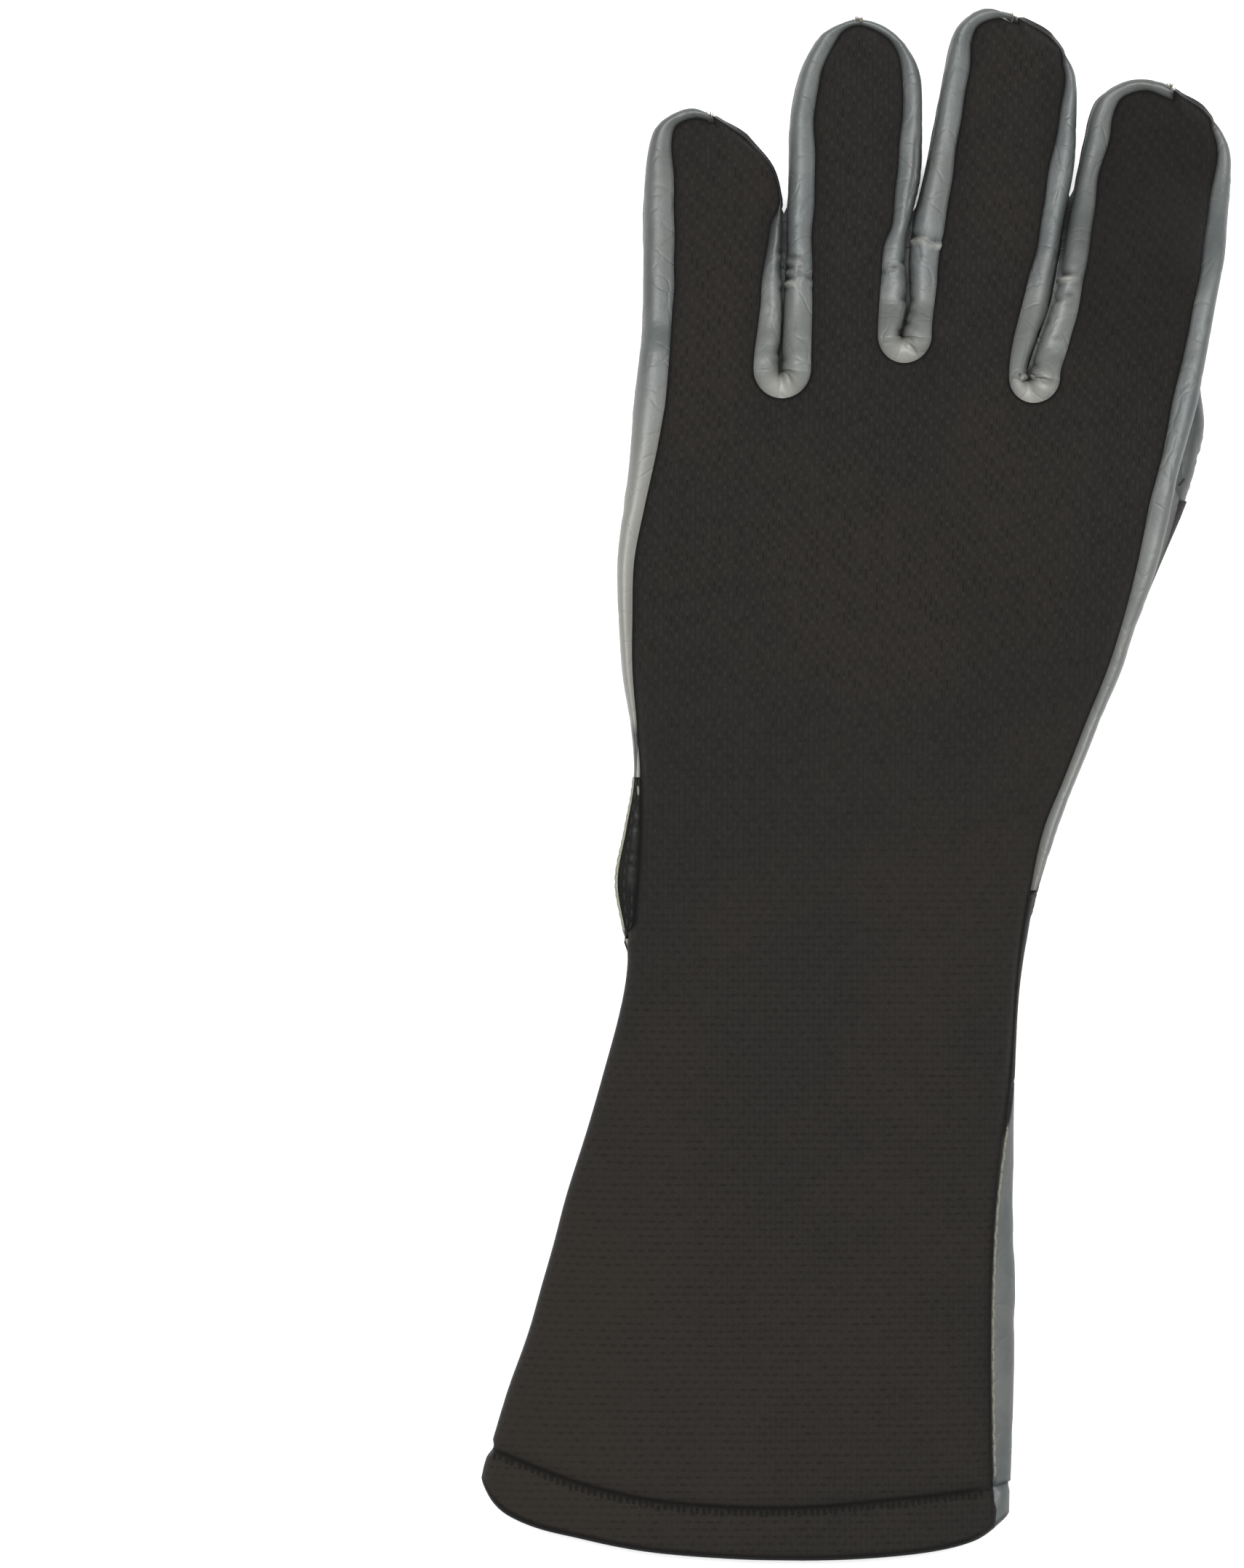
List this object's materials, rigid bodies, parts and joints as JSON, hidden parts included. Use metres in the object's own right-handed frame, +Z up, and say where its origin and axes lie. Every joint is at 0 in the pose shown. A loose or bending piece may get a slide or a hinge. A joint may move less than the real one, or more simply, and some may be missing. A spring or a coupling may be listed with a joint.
{
  "type": "arc flash glove",
  "caption": "Left-hand gauntlet glove lying palm down: dark knit back and cuff, grey leather palm, rolled leather strips round the fingers and the thumb folded under.",
  "frame": {"origin": "middle of the lying glove's outline, on the surface that it rests on", "axes": "+Y towards the fingertips, +X towards the thumb side, +Z up out of the back of the hand"},
  "size_m": [0.1604, 0.3306, 0.0243],
  "materials": {
    "knit": "matte ribbed knit, dark brown-black",
    "leather": "satin grain leather, blue-grey"
  },
  "bodies": {
    "root": {"back_panel": "knit", "palm_panel": "leather", "fourchette_pinky_ring": "leather", "fourchette_ring_middle": "leather", "fourchette_middle_index": "leather", "side_strip_ulnar": "leather", "side_strip_radial": "leather", "ulnar_seam_flap": "leather", "thumb_front": "leather", "thumb_back": "knit", "thumb_gusset": "leather", "side_panel": "knit", "back_hem": "knit", "palm_hem": "leather"}
  },
  "joints": []
}
